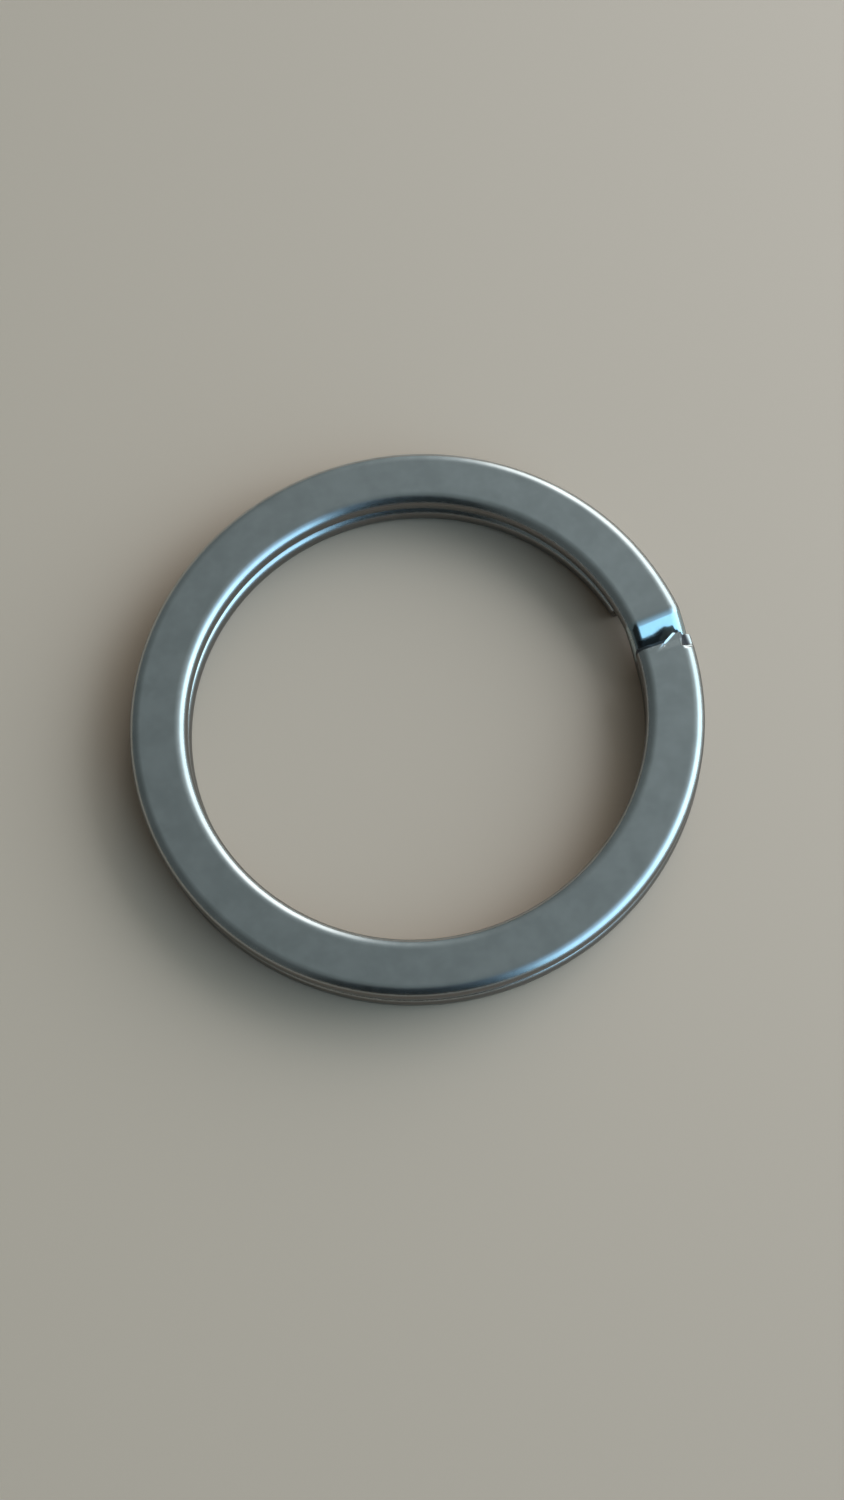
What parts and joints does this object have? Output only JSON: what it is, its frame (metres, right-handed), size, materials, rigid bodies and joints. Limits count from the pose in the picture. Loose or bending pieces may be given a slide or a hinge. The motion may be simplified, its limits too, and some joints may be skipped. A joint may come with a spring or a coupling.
{
  "type": "split ring",
  "caption": "Flat-wire split ring: spring wire coiled twice around and crossed over by a short pressed ramp between its two cut ends.",
  "frame": {"origin": "on the ring's axis, at the flat face it rests on", "axes": "+Z along the ring's axis, out of the upper face; +X through the middle of the crossover ramp"},
  "size_m": [0.03, 0.03, 0.0026],
  "materials": {
    "steel": "satin, tumbled and slightly worn"
  },
  "bodies": {
    "root": {"split_ring": "steel"}
  },
  "joints": []
}
